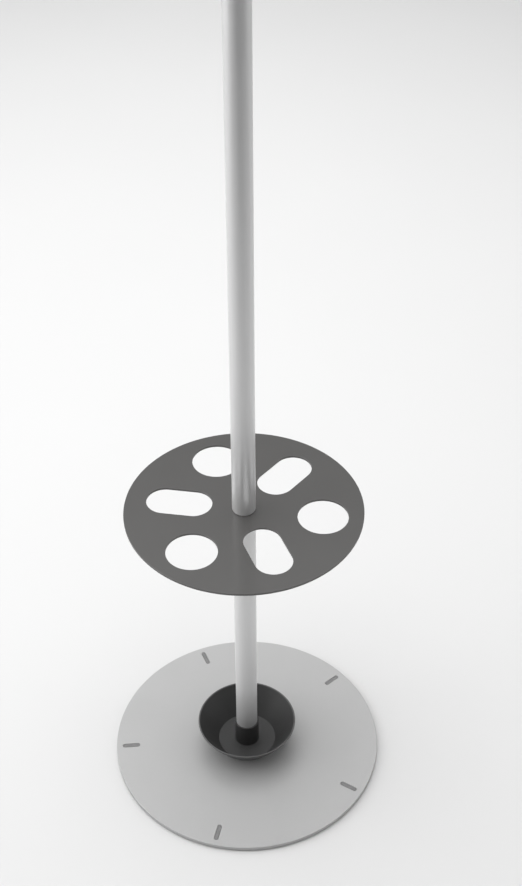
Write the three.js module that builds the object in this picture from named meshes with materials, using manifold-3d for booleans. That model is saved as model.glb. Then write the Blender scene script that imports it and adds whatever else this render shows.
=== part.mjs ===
// Umbrella stand. A round steel base on five rubber feet carries a tubular pole in two lengths. A flat disc
// with three slots and three round holes for umbrellas is clamped between them. A drip bowl with a central
// sleeve rests on the base and slides up the lower tube to be emptied.
// Millimetres, +Z up. The origin is on the floor, on the pole's axis.
import * as THREE from "three";
import { mergeVertices } from "three/addons/utils/BufferGeometryUtils.js";
import Module from "manifold-3d";

const wasm = await Module();
wasm.setup();

// ---- Driving dimensions ----
const BASE_R = 190;
const BASE_THICK = 6;
const BASE_CHAMFER = 0.8;
const FOOT_COUNT = 5;
const FOOT_FIRST_DEG = 39.5;
const FOOT_PITCH_R = 169;
const FOOT_RIB_LENGTH = 25;
const FOOT_RIB_WIDTH = 6;
const FOOT_PAD_LENGTH = 38;
const FOOT_PAD_WIDTH = 18;
const FOOT_PAD_THICK = 2;
const FOOT_SINK = 0.4; // how far a foot's rib stays below the plate's top

const BOWL_HEIGHT = 42;
const BOWL_RIM_R = 70;
const BOWL_FLOOR_R = 41; // inner radius of the flat floor
const BOWL_WALL = 2.6;
const BOWL_FLOOR_THICK = 2.4;
const BOWL_BULGE = 1; // how far the wall's middle curves outwards
const SLEEVE_HEIGHT = 40;
const SLEEVE_R = 17;
const SLEEVE_BORE_R = 15.4;

const POLE_R = 15;
const POLE_WALL = 1.5;
const POLE_TOP_Z = 1150;
const TUBE_END_CHAMFER = 0.5;
const PLUG_LENGTH = 25;
const PLUG_FLOOR = 3;

const DISC_R = 152.5;
const DISC_THICK = 3;
const DISC_TOP_Z = 457.5;
const SLOT_ANGLES_DEG = [50, 170, 290];
const SLOT_HALF_WIDTH = 24;
const SLOT_INNER_R = 65; // radii, from the pole's axis, of the centres of a slot's two round ends
const SLOT_OUTER_R = 102;
const HOLE_ANGLES_DEG = [110, 230, 350];
const HOLE_R = 32.2;
const HOLE_PITCH_R = 101;
const BACKING_R = 25;
const BACKING_THICK = 2.5;
const JOINT_WASHER_R = 14.6;
const JOINT_WASHER_THICK = 1;

const THREAD_R = 5; // M10
const SCREW_HEAD_R = 10;
const SCREW_LENGTH = 24;
const SCREW_SOCKET_FLATS = 6;
const SCREW_SOCKET_DEPTH = 4;
const THREAD_TIP = 1;

const CAP_HEAD = 5;
const CAP_CHAMFER = 1.6;
const CAP_STEM_LENGTH = 18;
const CAP_STEM_WALL = 2;

const GAP = 0.3; // between pieces that fit into each other

// Segments round a circle, by its size.
const FINE = 96;
const MEDIUM = 48;
const COARSE = 32;
const SMALL = 24;

// ---- Sizes worked out from them ----
const baseTopZ = FOOT_PAD_THICK + BASE_THICK;
const discBottomZ = DISC_TOP_Z - DISC_THICK;
const lowerTubeLength = discBottomZ - BACKING_THICK - baseTopZ;
const upperTubeBottomZ = DISC_TOP_Z + JOINT_WASHER_THICK;
const upperTubeLength = POLE_TOP_Z - upperTubeBottomZ;
const tubeBoreR = POLE_R - POLE_WALL;
const plugR = tubeBoreR - GAP;
const threadBoreR = THREAD_R + GAP;
const studReach = PLUG_LENGTH - PLUG_FLOOR - THREAD_TIP; // how far the stud goes into each plug

// ---- Materials ----
const material = (color, roughness, metalness) =>
  new THREE.MeshStandardMaterial({ color, roughness, metalness });

// Each piece gets a material of its own from these.
const silverPaint = () => material(0xb9b9ba, 0.45, 0.3);
const satinAluminium = () => material(0xc2c3c4, 0.32, 1);
const darkPaint = () => material(0x6f6e6c, 0.45, 0.2);
const darkPlastic = () => material(0x3b3b3d, 0.5, 0);
const greyRubber = () => material(0x7c7c7c, 0.8, 0);
const zincSteel = () => material(0xa9abad, 0.35, 1);
const blackNylon = () => material(0x2c2c2d, 0.6, 0);

// ---- Shapes ----
// A closed outline of [radius, z] points, anticlockwise with the radius to the right, turned about Z.
function turned(outline, segments) {
  const points = outline.map(([r, z]) => new THREE.Vector2(r, z));
  points.push(points[0].clone());
  return new THREE.LatheGeometry(points, segments).rotateX(Math.PI / 2);
}

function ring(boreR, outerR, z0, z1, segments) {
  return turned([[boreR, z0], [outerR, z0], [outerR, z1], [boreR, z1]], segments);
}

function rod(radius, z0, z1, segments) {
  return turned([[0, z0], [radius, z0], [radius, z1], [0, z1]], segments);
}

// A prism with a stadium outline: two half circles whose centres lie on the X axis, at x0 and x1.
function stadiumPrism(x0, x1, radius, z0, z1, curveSegments) {
  const outline = new THREE.Shape();
  outline.absarc(x0, 0, radius, Math.PI / 2, 1.5 * Math.PI, false);
  outline.absarc(x1, 0, radius, -Math.PI / 2, Math.PI / 2, false);
  outline.closePath();
  const options = { depth: z1 - z0, bevelEnabled: false, curveSegments };
  return new THREE.ExtrudeGeometry(outline, options).translate(0, 0, z0);
}

// ---- Cutting and joining ----
function toSolid(geometry) {
  const bare = geometry.clone();
  bare.deleteAttribute("normal");
  bare.deleteAttribute("uv");
  const merged = mergeVertices(bare, 1e-4);
  const vertProperties = new Float32Array(merged.attributes.position.array);
  const triVerts = new Uint32Array(merged.index.array);
  return new wasm.Manifold(new wasm.Mesh({ numProp: 3, vertProperties, triVerts }));
}

function toGeometry(solid) {
  const mesh = solid.getMesh();
  const geometry = new THREE.BufferGeometry();
  geometry.setAttribute("position", new THREE.BufferAttribute(mesh.vertProperties, 3));
  geometry.setIndex(new THREE.BufferAttribute(mesh.triVerts, 1));
  geometry.computeVertexNormals();
  return geometry;
}

function join(a, b) {
  return toGeometry(toSolid(a).add(toSolid(b)));
}

function cut(blank, tools) {
  return toGeometry(tools.reduce((left, tool) => left.subtract(toSolid(tool)), toSolid(blank)));
}

// ---- Scene graph ----
const stand = new THREE.Group();

function groupAt(z) {
  const group = new THREE.Group();
  group.position.z = z;
  stand.add(group);
  return group;
}

const base = groupAt(0);
const bowl = groupAt(baseTopZ);
const lowerPole = groupAt(baseTopZ);
const discJoint = groupAt(discBottomZ);
const upperPole = groupAt(upperTubeBottomZ);

function addPiece(group, name, geometry, finish) {
  const mesh = new THREE.Mesh(geometry, finish);
  mesh.name = name;
  group.add(mesh);
  return mesh;
}

// ---- Base ----
const footAngles = Array.from(
  { length: FOOT_COUNT },
  (_, i) => THREE.MathUtils.degToRad(FOOT_FIRST_DEG + (i * 360) / FOOT_COUNT),
);
const ribHalf = (FOOT_RIB_LENGTH - FOOT_RIB_WIDTH) / 2;

// Steel plate with chamfered rims, a countersunk hole for the pole's screw, and a slot for each foot.
function basePlate() {
  const bottomZ = FOOT_PAD_THICK;
  const sinkR = SCREW_HEAD_R + GAP;
  const blank = turned(
    [
      [sinkR, bottomZ],
      [BASE_R - BASE_CHAMFER, bottomZ],
      [BASE_R, bottomZ + BASE_CHAMFER],
      [BASE_R, baseTopZ - BASE_CHAMFER],
      [BASE_R - BASE_CHAMFER, baseTopZ],
      [threadBoreR, baseTopZ],
      [threadBoreR, bottomZ + sinkR - threadBoreR],
    ],
    FINE,
  );
  const slots = footAngles.map((angle) =>
    stadiumPrism(-ribHalf, ribHalf, FOOT_RIB_WIDTH / 2, bottomZ - 1, baseTopZ + 1, 6)
      .translate(FOOT_PITCH_R, 0, 0)
      .rotateZ(angle),
  );
  return cut(blank, slots);
}

// Rubber foot: a pad under the plate, and a rib that fills the slot and shows as a mark on top.
function foot() {
  const padHalf = (FOOT_PAD_LENGTH - FOOT_PAD_WIDTH) / 2;
  const pad = stadiumPrism(-padHalf, padHalf, FOOT_PAD_WIDTH / 2, 0, FOOT_PAD_THICK, 8);
  const ribR = FOOT_RIB_WIDTH / 2 - GAP;
  const rib = stadiumPrism(-ribHalf, ribHalf, ribR, FOOT_PAD_THICK / 2, baseTopZ - FOOT_SINK, 6);
  return join(pad, rib);
}

// Countersunk socket screw, up through the plate into the lower tube's foot plug.
function baseScrew() {
  const headZ = FOOT_PAD_THICK;
  const tipZ = headZ + SCREW_LENGTH;
  const blank = turned(
    [
      [0, headZ],
      [SCREW_HEAD_R, headZ],
      [THREAD_R, headZ + SCREW_HEAD_R - THREAD_R],
      [THREAD_R, tipZ - THREAD_TIP],
      [THREAD_R - THREAD_TIP, tipZ],
      [0, tipZ],
    ],
    SMALL,
  );
  const cornerR = SCREW_SOCKET_FLATS / 2 / Math.cos(Math.PI / 6);
  return cut(blank, [rod(cornerR, headZ - 1, headZ + SCREW_SOCKET_DEPTH, 6)]);
}

addPiece(base, "base_plate", basePlate(), silverPaint());
footAngles.forEach((angle, i) => {
  const turnedGroup = new THREE.Group();
  turnedGroup.rotation.z = angle;
  base.add(turnedGroup);
  addPiece(turnedGroup, "foot_" + (i + 1), foot(), greyRubber()).position.x = FOOT_PITCH_R;
});
addPiece(base, "base_screw", baseScrew(), zincSteel());

// ---- Drip bowl ----
// Flared wall with a rounded rim, a flat floor, and a sleeve round the pole. Heights from the base's top.
function dripBowl() {
  const rimR = BOWL_WALL / 2;
  const rimCentre = [BOWL_RIM_R - rimR, BOWL_HEIGHT - rimR];
  const rimArc = [0, 45, 90, 135, 180].map((deg) => {
    const angle = THREE.MathUtils.degToRad(deg);
    return [rimCentre[0] + rimR * Math.cos(angle), rimCentre[1] + rimR * Math.sin(angle)];
  });
  // Points up a wall that starts at [r, z] and ends below the rim, offset sideways from the rim's centre.
  const wall = (r, z, offset) =>
    [0, 0.25, 0.5, 0.75].map((t) => [
      r + (rimCentre[0] + offset - r) * t + 4 * BOWL_BULGE * t * (1 - t),
      z + (rimCentre[1] - z) * t,
    ]);
  const outerWall = wall(BOWL_FLOOR_R + BOWL_WALL / 2, 0, rimR);
  const innerWall = wall(BOWL_FLOOR_R, BOWL_FLOOR_THICK, -rimR).reverse();
  return turned(
    [
      [SLEEVE_BORE_R, 0],
      ...outerWall,
      ...rimArc,
      ...innerWall,
      [SLEEVE_R, BOWL_FLOOR_THICK],
      [SLEEVE_R, SLEEVE_HEIGHT - TUBE_END_CHAMFER],
      [SLEEVE_R - TUBE_END_CHAMFER, SLEEVE_HEIGHT],
      [SLEEVE_BORE_R, SLEEVE_HEIGHT],
    ],
    MEDIUM,
  );
}

addPiece(bowl, "drip_bowl", dripBowl(), darkPlastic());

// ---- Pole ----
// Tube of a given length, from z = 0.
function tube(length) {
  const c = TUBE_END_CHAMFER;
  return turned(
    [
      [tubeBoreR, 0],
      [POLE_R - c, 0],
      [POLE_R, c],
      [POLE_R, length - c],
      [POLE_R - c, length],
      [tubeBoreR, length],
    ],
    MEDIUM,
  );
}

// Threaded plug pressed into a tube's end. Its blind hole opens at z = 0.
function threadedPlug() {
  const holeDepth = PLUG_LENGTH - PLUG_FLOOR;
  return turned(
    [
      [threadBoreR, 0],
      [plugR, 0],
      [plugR, PLUG_LENGTH],
      [0, PLUG_LENGTH],
      [0, holeDepth],
      [threadBoreR, holeDepth],
    ],
    SMALL,
  );
}

// Moulded end cap: a chamfered head as wide as the tube, from z = 0 up, and a hollow stem inside the tube.
function topCap() {
  const stemBoreR = plugR - CAP_STEM_WALL;
  return turned(
    [
      [0, 0],
      [stemBoreR, 0],
      [stemBoreR, -CAP_STEM_LENGTH],
      [plugR, -CAP_STEM_LENGTH],
      [plugR, 0],
      [POLE_R, 0],
      [POLE_R, CAP_HEAD - CAP_CHAMFER],
      [POLE_R - CAP_CHAMFER, CAP_HEAD],
      [0, CAP_HEAD],
    ],
    MEDIUM,
  );
}

addPiece(lowerPole, "lower_tube", tube(lowerTubeLength), satinAluminium());
addPiece(lowerPole, "lower_tube_foot_plug", threadedPlug(), zincSteel());
const headPlug = addPiece(lowerPole, "lower_tube_head_plug", threadedPlug(), zincSteel());
headPlug.rotation.x = Math.PI;
headPlug.position.z = lowerTubeLength;

addPiece(upperPole, "upper_tube", tube(upperTubeLength), satinAluminium());
addPiece(upperPole, "upper_tube_foot_plug", threadedPlug(), zincSteel());
addPiece(upperPole, "top_cap", topCap(), darkPlastic()).position.z = upperTubeLength;

// ---- Umbrella disc and its joint ----
// Heights from the disc's underside.
function umbrellaDisc() {
  const z0 = -1;
  const z1 = DISC_THICK + 1;
  const slots = SLOT_ANGLES_DEG.map((deg) =>
    stadiumPrism(SLOT_INNER_R, SLOT_OUTER_R, SLOT_HALF_WIDTH, z0, z1, 16)
      .rotateZ(THREE.MathUtils.degToRad(deg)),
  );
  const holes = HOLE_ANGLES_DEG.map((deg) =>
    stadiumPrism(HOLE_PITCH_R, HOLE_PITCH_R, HOLE_R, z0, z1, 20)
      .rotateZ(THREE.MathUtils.degToRad(deg)),
  );
  return cut(ring(threadBoreR, DISC_R, 0, DISC_THICK, FINE), [...slots, ...holes]);
}

addPiece(discJoint, "umbrella_disc", umbrellaDisc(), darkPaint());
addPiece(
  discJoint,
  "disc_backing_washer",
  ring(threadBoreR, BACKING_R, -BACKING_THICK, 0, COARSE),
  darkPaint(),
);
addPiece(
  discJoint,
  "disc_joint_washer",
  ring(threadBoreR, JOINT_WASHER_R, DISC_THICK, DISC_THICK + JOINT_WASHER_THICK, COARSE),
  blackNylon(),
);

// Threaded stud that draws the two tubes together through the disc and its washers.
function discStud() {
  const z0 = -BACKING_THICK - studReach;
  const z1 = DISC_THICK + JOINT_WASHER_THICK + studReach;
  return rod(THREAD_R, z0, z1, SMALL);
}

addPiece(discJoint, "disc_stud", discStud(), zincSteel());

export default stand;
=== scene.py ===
# The looks of an umbrella stand: painted base, rubber feet, moulded drip bowl, satin pole and
# painted disc. Metres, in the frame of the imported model: +Z up, the origin on the floor at the
# pole's axis.
from math import cos, pi, radians, sin, tau

import bmesh
import bpy
from mathutils import Matrix, Vector


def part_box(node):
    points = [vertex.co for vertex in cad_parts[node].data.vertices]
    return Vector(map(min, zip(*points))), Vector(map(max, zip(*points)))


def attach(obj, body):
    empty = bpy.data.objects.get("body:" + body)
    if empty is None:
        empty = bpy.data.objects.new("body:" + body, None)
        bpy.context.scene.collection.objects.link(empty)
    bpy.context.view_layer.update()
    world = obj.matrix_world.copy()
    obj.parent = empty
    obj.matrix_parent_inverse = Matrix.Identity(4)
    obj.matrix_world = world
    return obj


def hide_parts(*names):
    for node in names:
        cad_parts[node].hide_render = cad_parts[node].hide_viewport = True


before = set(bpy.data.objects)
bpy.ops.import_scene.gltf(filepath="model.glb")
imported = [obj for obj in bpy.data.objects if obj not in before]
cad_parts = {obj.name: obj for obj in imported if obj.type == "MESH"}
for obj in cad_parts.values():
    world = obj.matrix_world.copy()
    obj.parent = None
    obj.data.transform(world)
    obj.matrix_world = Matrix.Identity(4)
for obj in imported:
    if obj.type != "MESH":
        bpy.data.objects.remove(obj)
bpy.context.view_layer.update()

MM = 0.001
ROUND = 192                 # sides of the large round pieces
FINE = 96                   # sides of the pole, what is in it, and the disc's openings
SMALL = 48                  # sides of the feet, their slots and the stud
SAME_HEIGHT = 0.002 * MM    # points this close in height lie on one level
SAME_PLACE = 0.01 * MM      # points this close together are merged
FLAT_SHEET = 12             # degrees: under this a sheet's face and its rounded edge shade as one

bpy.ops.object.select_all(action="DESELECT")


# ---------------------------------------------------------------- sizes, from the frame

def bottom_top(node):
    low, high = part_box(node)
    return low.z, high.z


def radius_of(node):
    low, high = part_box(node)
    return (high.x - low.x) / 2


base_bottom, base_top = bottom_top("base_plate")
base_radius = radius_of("base_plate")
bowl_bottom, bowl_top = bottom_top("drip_bowl")
bowl_radius = radius_of("drip_bowl")
disc_bottom, disc_top = bottom_top("umbrella_disc")
disc_radius = radius_of("umbrella_disc")
pole_radius = radius_of("lower_tube")
plug_radius = radius_of("lower_tube_foot_plug")
stud_radius = radius_of("disc_stud")

base_edge = 0.7 * MM
disc_edge = 0.5 * MM
screw_sink = 5 * MM

tube_bore = pole_radius - 1.5 * MM
thread_bore = stud_radius + 0.3 * MM
thread_pitch = 1.5 * MM
thread_depth = 0.75 * MM
thread_lead = 1 * MM

foot_count = 5
foot_first = radians(39.5)
foot_pitch = 169 * MM
foot_slot_length = 25 * MM
foot_slot_width = 6 * MM
foot_slot_reach = (foot_slot_length - foot_slot_width) / 2

bowl_floor_radius = 41 * MM
bowl_floor_top = bowl_bottom + 2.4 * MM
bowl_wall = 2.6 * MM
bowl_bulge = 1 * MM
sleeve_radius = 17 * MM
sleeve_bore = 15.4 * MM
sleeve_top = bowl_bottom + 40 * MM

slot_angles = [radians(50), radians(170), radians(290)]
slot_half_width = 24 * MM
slot_inner = 65 * MM
slot_outer = 102 * MM
hole_angles = [radians(110), radians(230), radians(350)]
hole_radius = 32.2 * MM
hole_pitch = 101 * MM


# ---------------------------------------------------------------- camera

CAMERA_PLACE = (-0.0033, -1.3426, 1.6557)
CAMERA_LENS = 57.7      # millimetres, on a sensor of the next width
CAMERA_SENSOR = 36
CAMERA_DOWN = 39.12     # degrees below the horizon
CAMERA_TURN = -1.078
CAMERA_ROLL = -0.219


def add_camera():
    """A standing person's view down onto the stand."""
    data = bpy.data.cameras.new("camera")
    data.lens = CAMERA_LENS
    data.sensor_width = CAMERA_SENSOR
    camera = bpy.data.objects.new("camera", data)
    bpy.context.scene.collection.objects.link(camera)
    turn = Matrix.Rotation(radians(CAMERA_TURN), 4, "Z")
    tip = Matrix.Rotation(radians(90 - CAMERA_DOWN), 4, "X")
    roll = Matrix.Rotation(radians(CAMERA_ROLL), 4, "Z")
    camera.matrix_world = Matrix.Translation(CAMERA_PLACE) @ turn @ tip @ roll
    bpy.context.scene.camera = camera


# ---------------------------------------------------------------- studio values

FLOOR_CENTRE = 1.0          # the floor's middle lies this far behind the stand
FLOOR_FADES_FROM = 2.1      # it is solid out to here from its middle, and gone at its reach
FLOOR_REACH = 3.3
ROOM_GLOW = {               # how strongly the white room shines from each side
    (-1, 0, 0): 1.22,
    (1, 0, 0): 0.56,
    (0, 1, 0): 0.05,
    (0, 0, 1): 0.02,
}
LOW_GLOW = 0.35             # the share of that glow left below the horizon
HORIZON = (-0.25, 0.05)     # heights of a view direction between which the glow falls off
BACKDROP_GLOW = 0.85        # how bright the backdrop itself looks


# ---------------------------------------------------------------- finishes

class Value:
    """A number in a finish's node tree. Sums and products with it add Math nodes."""

    def __init__(self, finish, socket):
        self.finish = finish
        self.socket = socket

    def _math(self, operation, *values):
        return self.finish.node("ShaderNodeMath", {"operation": operation}, dict(enumerate(values)))

    def __add__(self, other):
        return self._math("ADD", self, other)

    def __radd__(self, other):
        return self._math("ADD", other, self)

    def __sub__(self, other):
        return self._math("SUBTRACT", self, other)

    def __rsub__(self, other):
        return self._math("SUBTRACT", other, self)

    def __mul__(self, other):
        return self._math("MULTIPLY", self, other)

    def __rmul__(self, other):
        return self._math("MULTIPLY", other, self)

    def between(self, low, high):
        """0 below low, 1 above high and smooth between them."""
        sockets = {"Value": self, "From Min": low, "From Max": high}
        return self.finish.node("ShaderNodeMapRange", {"interpolation_type": "SMOOTHSTEP"}, sockets)


class Nodes:
    """A node tree that grows by one call a node."""

    def __init__(self, tree):
        self.tree = tree

    def node(self, kind, settings=None, sockets=None, output=0):
        """Adds a node, sets its settings, then sets or links its sockets. Returns one output."""
        made = self.tree.nodes.new(kind)
        for setting, value in (settings or {}).items():
            setattr(made, setting, value)
        for socket, value in (sockets or {}).items():
            if isinstance(value, Value):
                self.tree.links.new(value.socket, made.inputs[socket])
            else:
                made.inputs[socket].default_value = value
        return Value(self, made.outputs[output])


class Finish(Nodes):
    """A procedural material for one kind of surface."""

    def __init__(self, name, **shader_values):
        self.material = bpy.data.materials.new(name)
        self.material.use_nodes = True
        super().__init__(self.material.node_tree)
        self.shader = self.tree.nodes["Principled BSDF"]
        for socket, value in shader_values.items():
            self.set(socket.replace("_", " "), value)
        self.place = self.node("ShaderNodeTexCoord", output="Object")

    def set(self, socket, value):
        """Sets or links one of the shader's own sockets."""
        if isinstance(value, Value):
            self.tree.links.new(value.socket, self.shader.inputs[socket])
        else:
            self.shader.inputs[socket].default_value = value

    def height(self):
        """Height above the floor, in metres."""
        return self.node("ShaderNodeSeparateXYZ", None, {"Vector": self.place}, output="Z")

    def noise(self, size, detail=2, stretch=(1, 1, 1)):
        """Soft spots about size across, in metres, stretched along the axes."""
        scale = [1 / (size * s) for s in stretch]
        place = self.node("ShaderNodeMapping", None, {"Vector": self.place, "Scale": scale})
        return self.node("ShaderNodeTexNoise", None, {"Vector": place, "Scale": 1.0, "Detail": detail})

    def grains(self, size):
        """Distance from the middle of each of many small cells."""
        sockets = {"Vector": self.place, "Scale": 1 / size}
        return self.node("ShaderNodeTexVoronoi", None, sockets)

    def mix(self, amount, first, second):
        """The first colour where amount is 0, the second where it is 1."""
        sockets = {"Factor": amount, 6: first, 7: second}
        return self.node("ShaderNodeMix", {"data_type": "RGBA"}, sockets, output=2)

    def bump(self, height, depth):
        """Raises the surface by up to depth, in metres, where height is 1."""
        sockets = {"Height": height, "Distance": depth}
        self.set("Normal", self.node("ShaderNodeBump", None, sockets))


def grey(level, warm=0.0):
    """A linear grey, a little warmer, or cooler where warm is negative."""
    return (level * (1 + warm), level, level * (1 - warm), 1)


def silver_powder_coat():
    """Satin silver-grey coat with an orange-peel skin and fine bright flecks."""
    finish = Finish("silver_powder_coat", Metallic=0.25, Coat_Weight=0.05, Coat_Roughness=0.3)
    cloud = finish.noise(60 * MM)
    peel = finish.noise(1.6 * MM, detail=3)
    flecks = finish.grains(0.5 * MM).between(0.28, 0.12)
    tone = finish.mix(cloud, grey(0.375), grey(0.40))
    finish.set("Base Color", finish.mix(flecks * 0.25, tone, grey(0.57)))
    finish.set("Roughness", 0.42 + cloud * 0.06 + peel * 0.06 - flecks * 0.08)
    finish.bump(peel + flecks * 0.15, 0.05 * MM)
    return finish.material


def dark_powder_coat():
    """Warm dark-grey coat, glossier, with a fine even skin."""
    finish = Finish("dark_powder_coat", Metallic=0.1, Coat_Weight=0.7, Coat_Roughness=0.16)
    cloud = finish.noise(45 * MM)
    peel = finish.noise(1.2 * MM, detail=3)
    specks = finish.grains(0.6 * MM).between(0.22, 0.1)
    tone = finish.mix(cloud, grey(0.049, 0.03), grey(0.055, 0.03))
    finish.set("Base Color", finish.mix(specks * 0.2, tone, grey(0.10, 0.02)))
    finish.set("Roughness", 0.44 + cloud * 0.05 + peel * 0.08)
    finish.bump(peel, 0.035 * MM)
    return finish.material


def satin_tube_metal():
    """Satin metal drawn along the tube: long fine lines, and faint streaks of tone."""
    finish = Finish("satin_tube_metal", Metallic=0.65)
    lines = finish.noise(0.35 * MM, detail=4, stretch=(1, 1, 160))
    streaks = finish.noise(3 * MM, detail=2, stretch=(1, 1, 60))
    haze = finish.noise(35 * MM, detail=3)
    tone = finish.mix(streaks, grey(0.66), grey(0.71))
    finish.set("Base Color", finish.mix(haze * 0.4, tone, grey(0.69, -0.005)))
    finish.set("Roughness", 0.34 + lines * 0.10 + haze * 0.04)
    finish.bump(lines, 0.012 * MM)
    return finish.material


def moulded_dark_plastic():
    """Matt dark moulding with a spark-eroded grain, with a painted highlight: a paler, smoother band
    along the bowl's rim.
    """
    finish = Finish("moulded_dark_plastic", Specular_IOR_Level=0.4)
    grain = finish.noise(0.45 * MM, detail=4)
    cloud = finish.noise(22 * MM, detail=3)
    # Painted highlight: a band at the top of the rolled rim is painted paler where light catches the
    # lip; it is also made smoother.
    rim_highlight = finish.height().between(bowl_top - 1.6 * MM, bowl_top - 0.5 * MM)
    rim_highlight = rim_highlight * (1 - finish.height().between(bowl_top + 1 * MM, bowl_top + 2 * MM))
    tone = finish.mix(cloud, grey(0.030), grey(0.037))
    tone = finish.mix(grain * 0.25, tone, grey(0.054))
    finish.set("Base Color", finish.mix(rim_highlight * 0.8, tone, grey(0.085)))
    finish.set("Roughness", 0.40 + grain * 0.12 + cloud * 0.08 - rim_highlight * 0.08)
    finish.bump(grain * (1 - rim_highlight * 0.6), 0.04 * MM)
    return finish.material


def grey_nylon():
    """Undyed nylon: smooth, waxy and faintly cloudy."""
    finish = Finish("grey_nylon", Specular_IOR_Level=0.45)
    cloud = finish.noise(5 * MM, detail=3)
    skin = finish.noise(0.8 * MM, detail=3)
    finish.set("Base Color", finish.mix(cloud, grey(0.40), grey(0.45, 0.01)))
    finish.set("Roughness", 0.36 + skin * 0.1)
    finish.bump(skin, 0.015 * MM)
    return finish.material


def grey_foot_rubber():
    """Matt grey rubber, finely pitted, with a little pale dust."""
    finish = Finish("grey_foot_rubber", Specular_IOR_Level=0.25)
    pits = finish.grains(0.7 * MM).between(0.0, 0.5)
    dust = finish.noise(5 * MM, detail=5).between(0.5, 0.75)
    tone = finish.mix(pits, grey(0.15), grey(0.19))
    finish.set("Base Color", finish.mix(dust * 0.35, tone, grey(0.3)))
    finish.set("Roughness", 0.72 + dust * 0.15)
    finish.bump(pits, 0.05 * MM)
    return finish.material


def bright_zinc():
    """Zinc plate: bluish and yellowish clouds over fine turning lines."""
    finish = Finish("bright_zinc", Metallic=1.0)
    cloud = finish.noise(4 * MM, detail=3)
    lines = finish.noise(0.3 * MM, detail=3, stretch=(20, 20, 1))
    finish.set("Base Color", finish.mix(cloud, grey(0.58, -0.03), grey(0.6, 0.05)))
    finish.set("Roughness", 0.24 + lines * 0.16)
    finish.bump(lines, 0.01 * MM)
    return finish.material


def pale_floor():
    """A pale sheet that thins out all round into the even backdrop."""
    finish = Finish("pale_floor", Roughness=0.9, Specular_IOR_Level=0.1)
    mottle = finish.noise(0.6)
    finish.set("Base Color", finish.mix(mottle, grey(0.62), grey(0.64)))
    sockets = {0: finish.place, 1: (0, FLOOR_CENTRE, 0)}
    reach = finish.node("ShaderNodeVectorMath", {"operation": "DISTANCE"}, sockets, output="Value")
    finish.set("Alpha", 1 - reach.between(FLOOR_FADES_FROM, FLOOR_REACH))
    return finish.material


# ---------------------------------------------------------------- studio

def add_floor():
    """A sheet just wide enough to have thinned out at its edges."""
    bpy.ops.mesh.primitive_plane_add(size=2 * FLOOR_REACH, location=(0, FLOOR_CENTRE, 0))
    place_in_mesh()
    floor = bpy.context.object
    floor.name = "floor"
    floor.data.materials.append(pale_floor())
    bpy.ops.object.select_all(action="DESELECT")


def add_panel(name, place, aim, size, watts, spread=180):
    """A soft light panel at a place, facing a point. The camera doesn't see the panel itself."""
    data = bpy.data.lights.new(name, "AREA")
    data.shape = "RECTANGLE"
    data.size, data.size_y = size
    data.energy = watts
    data.spread = radians(spread)
    panel = bpy.data.objects.new(name, data)
    bpy.context.scene.collection.objects.link(panel)
    panel.location = place
    panel.rotation_euler = (Vector(aim) - Vector(place)).to_track_quat("-Z", "Y").to_euler()
    panel.visible_camera = False


def add_room_light():
    """A white room, brightest on the left and dim underfoot."""
    world = bpy.data.worlds.new("studio")
    world.use_nodes = True
    bpy.context.scene.world = world
    bpy.context.scene.view_settings.view_transform = "Standard"
    glow = Nodes(world.node_tree)
    facing = glow.node("ShaderNodeTexCoord", output="Generated")
    light = 0
    for side, strength in ROOM_GLOW.items():
        dot = {"operation": "DOT_PRODUCT"}
        towards = glow.node("ShaderNodeVectorMath", dot, {0: facing, 1: side}, output="Value")
        lit = glow.node("ShaderNodeMath", {"operation": "MAXIMUM"}, {0: towards, 1: 0.0})
        light = light + lit * strength
    height = glow.node("ShaderNodeSeparateXYZ", None, {"Vector": facing}, output="Z")
    light = light * (LOW_GLOW + (1 - LOW_GLOW) * height.between(*HORIZON))
    # The backdrop itself looks an even pale grey from every side.
    seen = glow.node("ShaderNodeLightPath", output="Is Camera Ray")
    strength = light * (1 - seen) + seen * BACKDROP_GLOW
    background = world.node_tree.nodes["Background"]
    world.node_tree.links.new(strength.socket, background.inputs["Strength"])
    background.inputs["Color"].default_value = (1, 1, 1, 1)


def add_panels():
    add_panel(
        "panel_above", place=(-0.3, 1.0, 2.9), aim=(-0.2, 1.0, 0), size=(4.6, 3.2), watts=51, spread=105
    )
    add_panel("panel_left", place=(-2.8, 0.3, 1.6), aim=(0, 0, 0.6), size=(3.4, 3.0), watts=48)
    add_panel("panel_right", place=(2.8, 0.5, 1.6), aim=(0, 0, 0.6), size=(3.4, 3.0), watts=23)
    add_panel("panel_back", place=(0, 5.5, 2.4), aim=(0, 1.5, 0), size=(6.0, 3.0), watts=25)
    add_panel("panel_front", place=(-0.3, -2.6, 2.8), aim=(0, -0.7, 0), size=(3.0, 1.5), watts=7)


# ---------------------------------------------------------------- making and finishing pieces

def edit():
    bpy.ops.object.mode_set(mode="EDIT")


def stop_editing():
    bpy.ops.object.mode_set(mode="OBJECT")


def select_vertices(accept):
    """Selects just the edited mesh's vertices that accept() takes, and what lies between them."""
    bpy.ops.mesh.select_mode(type="VERT")
    bpy.ops.mesh.select_all(action="DESELECT")
    mesh = bmesh.from_edit_mesh(bpy.context.object.data)
    for vertex in mesh.verts:
        vertex.select = accept(vertex.co)
    mesh.select_flush(True)
    bmesh.update_edit_mesh(bpy.context.object.data)


def add_ring(radius, z, sides):
    bpy.ops.mesh.primitive_circle_add(vertices=sides, radius=radius, location=(0, 0, z))
    place_in_mesh()
    return bpy.context.object


def place_in_mesh():
    """Moves the object's place into its mesh, so that the object itself sits at the origin."""
    bpy.ops.object.transform_apply(location=True, rotation=True, scale=True)


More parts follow.
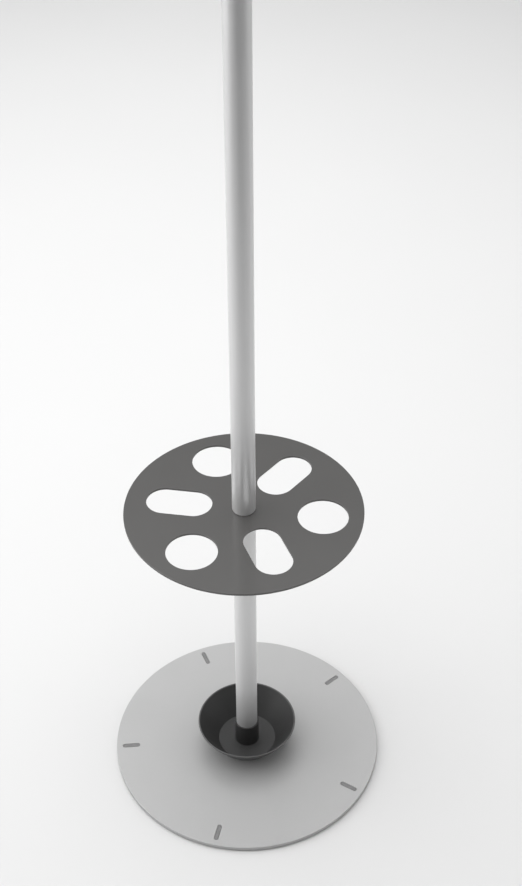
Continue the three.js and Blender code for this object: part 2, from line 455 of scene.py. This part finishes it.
def turn_profile(name, profile, sides):
    """A ring drawn out through a profile of (radius, z) points, as on a lathe.

    A profile that starts or ends at radius 0 is closed there; any other is joined end to end.
    """
    solid = profile[0][0] == 0
    rings = [point for point in profile if point[0] > 0]
    piece = add_ring(rings[0][0], rings[0][1], sides)
    piece.name = name
    edit()
    bpy.ops.mesh.select_all(action="SELECT")
    if solid:
        bpy.ops.mesh.edge_face_add()
    for (r0, z0), (r1, z1) in zip(rings, rings[1:]):
        if solid:
            bpy.ops.mesh.extrude_region_move(TRANSFORM_OT_translate={"value": (0, 0, z1 - z0)})
        else:
            bpy.ops.mesh.extrude_edges_move(TRANSFORM_OT_translate={"value": (0, 0, z1 - z0)})
        ratio = r1 / r0
        bpy.ops.transform.resize(value=(ratio, ratio, 1), center_override=(0, 0, z1))
    if not solid:
        (r0, z0), (r1, z1) = rings[0], rings[-1]
        near = 0.001 * MM
        select_vertices(lambda co: any(
            abs(co.xy.length - r) < near and abs(co.z - z) < near for r, z in ((r0, z0), (r1, z1))
        ))
        bpy.ops.mesh.bridge_edge_loops()
    bpy.ops.mesh.select_all(action="SELECT")
    bpy.ops.mesh.normals_make_consistent(inside=False)
    stop_editing()
    return piece


def add_slot_outline(inner, outer, half_width, angle, z, sides):
    """A ring stretched along a radial line into a long rounded slot."""
    along = Vector((cos(angle), sin(angle), 0))
    centre = along * inner + Vector((0, 0, z))
    # Half a side's turn puts two of the ring's sides, and no corner, where it is stretched.
    turn = (0, 0, angle + pi / sides)
    bpy.ops.mesh.primitive_circle_add(vertices=sides, radius=half_width, location=centre, rotation=turn)
    place_in_mesh()
    if outer > inner:
        edit()
        select_vertices(lambda co: (co - centre).dot(along) > 0)
        bpy.ops.transform.translate(value=along * (outer - inner))
        stop_editing()
    return bpy.context.object


def rounded(bottom, top, width, steps=3):
    """Levels of a sheet with rounded edges: heights, and how far the edge is drawn back there."""
    turns = [radians(90 * i / steps) for i in range(steps + 1)]
    lower = [(bottom + width * (1 - cos(t)), width * (1 - sin(t))) for t in turns]
    upper = [(top + bottom - z, inset) for z, inset in reversed(lower)]
    return lower + upper


def join(pieces):
    """Makes the pieces one mesh, in the first of them."""
    bpy.ops.object.select_all(action="DESELECT")
    for piece in pieces:
        piece.select_set(True)
    bpy.context.view_layer.objects.active = pieces[0]
    if len(pieces) > 1:
        bpy.ops.object.join()
    return pieces[0]


def draw_wall(levels, ring_at):
    """A wall through levels of (height, inset), where ring_at(height, inset) draws its outline."""
    wall = join([ring_at(z, inset) for z, inset in levels])
    edit()
    for (z0, _), (z1, _) in zip(levels, levels[1:]):
        select_vertices(lambda co: abs(co.z - z0) < SAME_HEIGHT or abs(co.z - z1) < SAME_HEIGHT)
        bpy.ops.mesh.bridge_edge_loops()
    stop_editing()
    return wall


def close_sheet(name, walls, bottom, top):
    """Joins the walls round a sheet and its holes, and fills its two faces between them."""
    sheet = join(walls)
    sheet.name = name
    edit()
    for z in (bottom, top):
        select_vertices(lambda co: abs(co.z - z) < SAME_HEIGHT)
        bpy.ops.mesh.fill(use_beauty=True)
    bpy.ops.mesh.select_all(action="SELECT")
    bpy.ops.mesh.normals_make_consistent(inside=False)
    stop_editing()
    return sheet


def round_edges(piece, width, segments=3, sharper_than=40):
    """Rounds the edges that turn by more than sharper_than degrees."""
    bevel = piece.modifiers.new("rounded", "BEVEL")
    bevel.width = width
    bevel.segments = segments
    bevel.limit_method = "ANGLE"
    bevel.angle_limit = radians(sharper_than)
    bpy.context.view_layer.objects.active = piece
    bpy.ops.object.modifier_apply(modifier=bevel.name)
    edit()
    bpy.ops.mesh.select_all(action="SELECT")
    bpy.ops.mesh.remove_doubles(threshold=SAME_PLACE)
    stop_editing()


def finish_piece(piece, material, body, slot, *nodes, smooth_under=30):
    """Gives a piece its finish, smooth shading, and its place in the object."""
    bpy.ops.object.select_all(action="DESELECT")
    piece.select_set(True)
    bpy.context.view_layer.objects.active = piece
    bpy.ops.object.shade_smooth_by_angle(angle=radians(smooth_under))
    flat_first = piece.modifiers.new("flat_first", "WEIGHTED_NORMAL")
    flat_first.keep_sharp = True
    flat_first.weight = 100
    bpy.ops.object.modifier_apply(modifier=flat_first.name)
    piece.data.materials.clear()
    piece.data.materials.append(material)
    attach(piece, body)
    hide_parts(*nodes)
    bpy.ops.object.select_all(action="DESELECT")


def arc(centre, radius, start, end, steps):
    """Points on part of a circle in a profile, between two angles in degrees."""
    angles = [radians(start + (end - start) * i / steps) for i in range(steps + 1)]
    return [(centre[0] + radius * cos(a), centre[1] + radius * sin(a)) for a in angles]


# ---------------------------------------------------------------- the pieces

def foot_angles():
    return [foot_first + i * tau / foot_count for i in range(foot_count)]


def make_base(coat):
    """The plate, with a slot for each foot's rib and a sunk hole for the screw."""
    levels = rounded(base_bottom, base_top, base_edge)
    half = foot_slot_width / 2
    reach = foot_slot_reach
    sunk = [(base_bottom, screw_sink), (base_bottom + screw_sink, 0), (base_top, 0)]
    walls = [
        draw_wall(levels, lambda z, inset: add_ring(base_radius - inset, z, ROUND)),
        draw_wall(sunk, lambda z, inset: add_ring(thread_bore + inset, z, FINE)),
    ]
    for angle in foot_angles():
        walls.append(draw_wall(levels, lambda z, inset: add_slot_outline(
            foot_pitch - reach, foot_pitch + reach, half + inset, angle, z, SMALL
        )))
    plate = close_sheet("painted_base", walls, base_bottom, base_top)
    finish_piece(plate, coat, "stand", "silver_paint", "base_plate", smooth_under=FLAT_SHEET)


def make_foot(index, angle, rubber):
    """A pad with a soft edge, and a rib with a soft top that fills the base's slot."""
    pad_half, pad_reach = 9 * MM, 10 * MM
    rib_gap, rib_sunk, rib_root = 0.3 * MM, 0.4 * MM, 0.05 * MM
    rib_half = foot_slot_width / 2 - rib_gap
    rib_reach = foot_slot_reach
    rib_top = base_top - rib_sunk
    soft = 0.5 * MM
    pad = rounded(0, base_bottom, soft)
    root = base_bottom + rib_root
    soft_top = [level for level in rounded(root, rib_top, soft) if level[0] > rib_top - 2 * soft]
    rib = [(root, 0)] + soft_top

    def outline(z, inset):
        half, reach = (pad_half, pad_reach) if z < root else (rib_half, rib_reach)
        return add_slot_outline(foot_pitch - reach, foot_pitch + reach, half - inset, angle, z, SMALL)

    foot = close_sheet("rubber_foot_" + str(index), [draw_wall(pad + rib, outline)], 0, rib_top)
    finish_piece(foot, rubber, "stand", "grey_rubber", "foot_" + str(index), smooth_under=FLAT_SHEET)


def bowl_profile():
    """Up the outside from the sleeve's foot, over the rolled rim, down inside and up the sleeve."""
    rim = bowl_wall / 2
    rim_centre = (bowl_radius - rim, bowl_top - rim)

    def wall(r, z, offset, steps=10):
        points = []
        for i in range(steps):
            t = i / steps
            across = r + (rim_centre[0] + offset - r) * t + 4 * bowl_bulge * t * (1 - t)
            points.append((across, z + (rim_centre[1] - z) * t))
        return points

    outside = wall(bowl_floor_radius + rim, bowl_bottom, rim)
    inside = wall(bowl_floor_radius, bowl_floor_top, -rim)[::-1]
    round_over = 0.5 * MM
    return (
        [(sleeve_bore, bowl_bottom)]
        + outside
        + arc(rim_centre, rim, 0, 180, 12)
        + inside
        + [(sleeve_radius, bowl_floor_top)]
        + arc((sleeve_radius - round_over, sleeve_top - round_over), round_over, 0, 90, 4)
        + [(sleeve_bore, sleeve_top)]
    )


def make_bowl(plastic):
    """The drip bowl, turned in one piece with its sleeve."""
    bowl = turn_profile("moulded_bowl", bowl_profile(), ROUND)
    round_edges(bowl, width=0.4 * MM, sharper_than=35)
    finish_piece(bowl, plastic, "bowl", "dark_plastic", "drip_bowl")


def make_tube(name, node, metal):
    """One length of the pole."""
    bottom, top = bottom_top(node)
    profile = [(tube_bore, bottom), (pole_radius, bottom), (pole_radius, top), (tube_bore, top)]
    tube = turn_profile(name, profile, FINE)
    round_edges(tube, width=0.45 * MM)
    finish_piece(tube, metal, "stand", "satin_aluminium", node)


def make_disc(coat):
    """The disc that holds the umbrellas, with three long slots, three holes and a bore."""
    levels = rounded(disc_bottom, disc_top, disc_edge)
    bore = [(disc_bottom, 0), (disc_top, 0)]
    walls = [
        draw_wall(levels, lambda z, inset: add_ring(disc_radius - inset, z, ROUND)),
        draw_wall(bore, lambda z, inset: add_ring(thread_bore, z, FINE)),
    ]
    openings = [(slot_inner, slot_outer, slot_half_width, angle) for angle in slot_angles]
    openings += [(hole_pitch, hole_pitch, hole_radius, angle) for angle in hole_angles]
    for inner, outer, half, angle in openings:
        walls.append(draw_wall(levels, lambda z, inset: add_slot_outline(
            inner, outer, half + inset, angle, z, FINE
        )))
    disc = close_sheet("painted_disc", walls, disc_bottom, disc_top)
    finish_piece(disc, coat, "stand", "dark_paint", "umbrella_disc", smooth_under=FLAT_SHEET)


def make_washer(name, node, material, slot):
    """A flat ring round the stud. A thin one has its edges rounded less."""
    bottom, top = bottom_top(node)
    outer = radius_of(node)
    bore = thread_bore
    profile = [(bore, bottom), (outer, bottom), (outer, top), (bore, top)]
    washer = turn_profile(name, profile, FINE)
    round_edges(washer, width=min(0.4 * MM, (top - bottom) * 0.25))
    finish_piece(washer, material, "stand", slot, node)


def make_cap(plastic):
    """The cap on top of the pole: a hollow skirt inside the tube under a head with a soft edge."""
    bottom, top = bottom_top("top_cap")
    head_bottom = bottom_top("upper_tube")[1]
    bore = plug_radius - 2 * MM
    rounding = 1.8 * MM
    shoulder = (pole_radius - rounding, top - rounding)
    profile = (
        [(0, head_bottom), (bore, head_bottom), (bore, bottom), (plug_radius, bottom)]
        + [(plug_radius, head_bottom), (pole_radius, head_bottom)]
        + arc(shoulder, rounding, 0, 90, 8)
    )
    cap = turn_profile("pole_cap", profile, FINE)
    round_edges(cap, width=0.25 * MM, sharper_than=60)
    finish_piece(cap, plastic, "stand", "dark_plastic", "top_cap")


def thread(radius, bottom, top):
    """Crests and roots of a thread, drawn as rings and not as a helix, in a profile going up."""
    pitch = thread_pitch
    root = radius - thread_depth
    root_ends, crest_starts, crest_ends = 0.15 * pitch, 0.5 * pitch, 0.65 * pitch
    points = []
    for turn in range(int((top - bottom) / pitch)):
        z = bottom + turn * pitch
        points += [(root, z), (root, z + root_ends)]
        points += [(radius, z + crest_starts), (radius, z + crest_ends)]
    return points + [(root, top)]


def make_stud(zinc):
    """Threaded rod that holds the disc between the two tubes, with chamfered ends."""
    bottom, top = bottom_top("disc_stud")
    lead = thread_lead
    profile = [(0, bottom), (stud_radius - lead, bottom)]
    profile += thread(stud_radius, bottom + lead, top - lead)
    profile += [(stud_radius - lead, top)]
    stud = turn_profile("threaded_stud", profile, SMALL)
    finish_piece(stud, zinc, "stand", "zinc_steel", "disc_stud")


def make_screw(zinc):
    """Countersunk screw under the base, with a hex socket for its key."""
    head, tip = bottom_top("base_screw")
    head_radius = radius_of("base_screw")
    shank = stud_radius
    neck = head + head_radius - shank
    profile = [(0, head), (head_radius, head), (shank, neck)]
    profile += thread(shank, neck + thread_lead, tip - thread_lead)
    profile += [(shank - thread_lead, tip)]
    screw = turn_profile("socket_screw", profile, FINE)
    key_half_width = 3 * MM
    socket_corner = key_half_width / cos(pi / 6)
    depth = 4 * MM
    bpy.ops.mesh.primitive_cylinder_add(
        vertices=6, radius=socket_corner, depth=2 * depth, location=(0, 0, head)
    )
    key = bpy.context.object
    boolean = screw.modifiers.new("socket", "BOOLEAN")
    boolean.object = key
    boolean.operation = "DIFFERENCE"
    bpy.context.view_layer.objects.active = screw
    bpy.ops.object.modifier_apply(modifier=boolean.name)
    bpy.data.objects.remove(key)
    round_edges(screw, width=0.2 * MM, sharper_than=75)
    finish_piece(screw, zinc, "stand", "zinc_steel", "base_screw")


def refinish(node, material):
    """A CAD piece whose shape is right keeps it and takes a better material."""
    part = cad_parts[node]
    part.data.materials.clear()
    part.data.materials.append(material)


# ---------------------------------------------------------------- the whole object

add_camera()
add_room_light()
add_panels()
add_floor()

silver_coat = silver_powder_coat()
dark_coat = dark_powder_coat()
tube_metal = satin_tube_metal()
dark_plastic = moulded_dark_plastic()
nylon = grey_nylon()
foot_rubber = grey_foot_rubber()
zinc = bright_zinc()

make_base(silver_coat)
for number, angle in enumerate(foot_angles(), start=1):
    make_foot(number, angle, foot_rubber)
make_bowl(dark_plastic)
make_tube("pole_lower", "lower_tube", tube_metal)
make_tube("pole_upper", "upper_tube", tube_metal)
make_disc(dark_coat)
make_washer("clamp_washer", "disc_backing_washer", dark_coat, "dark_paint")
make_washer("nylon_washer", "disc_joint_washer", nylon, "grey_nylon")
make_cap(dark_plastic)
make_screw(zinc)
make_stud(zinc)
for plug in ("lower_tube_foot_plug", "lower_tube_head_plug", "upper_tube_foot_plug"):
    refinish(plug, zinc)
